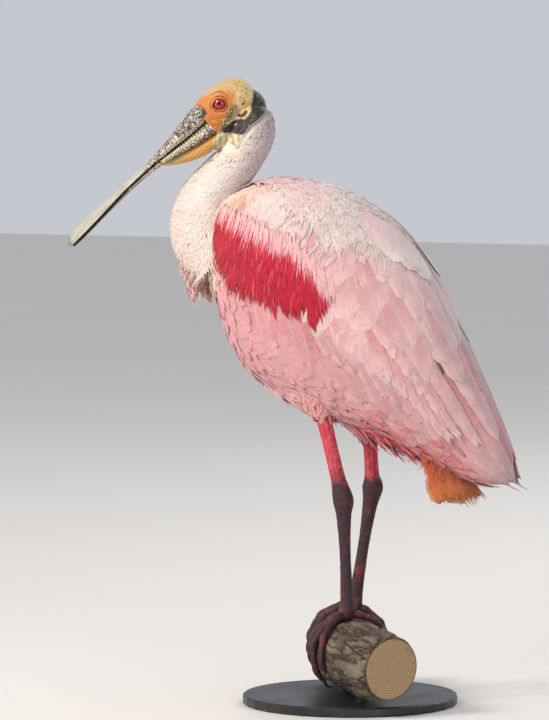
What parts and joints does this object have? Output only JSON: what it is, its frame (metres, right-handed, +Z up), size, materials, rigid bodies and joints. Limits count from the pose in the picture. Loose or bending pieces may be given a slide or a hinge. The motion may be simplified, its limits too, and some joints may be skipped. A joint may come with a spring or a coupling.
{
  "type": "roseate spoonbill figure",
  "caption": "Life-size still figure of a roseate spoonbill standing on a short length of limb, held by a plain round display stand.",
  "frame": {"origin": "centre of the underside of the stand's round base", "axes": "+Z up, the bird faces -X, its left side is at -Y, and its middle plane is Y = 0 apart from the head, which is turned to its left"},
  "size_m": [0.4272, 0.2346, 0.5793],
  "materials": {
    "pale_plumage": "soft overlapping body feathers, white to pale pink",
    "pink_plumage": "overlapping flight feathers and coverts, pink with a crimson band on the shoulder",
    "orange_tail": "tail feathers, orange",
    "face_skin": "bare wrinkled skin, buff and orange",
    "bill_horn": "horn, grey with dark scales",
    "eye": "polished, red iris with a dark pupil",
    "leg_skin": "scaled skin, dark purplish",
    "bark": "dry bark",
    "stand_metal": "satin black"
  },
  "bodies": {
    "root": {"bill_lower": "bill_horn", "bill_upper": "bill_horn", "eye_left": "eye", "eye_right": "eye", "foot_left": "leg_skin", "foot_right": "leg_skin", "head": "face_skin", "neck_lower": "pale_plumage", "neck_middle": "pale_plumage", "neck_upper": "pale_plumage", "perch": "bark", "stand_base": "stand_metal", "stand_rod_1": "stand_metal", "stand_rod_2": "stand_metal", "tail": "orange_tail", "tarsus_left": "leg_skin", "tarsus_right": "leg_skin", "thigh_left": "pink_plumage", "thigh_right": "pink_plumage", "throat_pouch": "face_skin", "tibia_left": "leg_skin", "tibia_right": "leg_skin", "torso": "pale_plumage", "wing_left": "pink_plumage", "wing_right": "pink_plumage"}
  },
  "joints": []
}
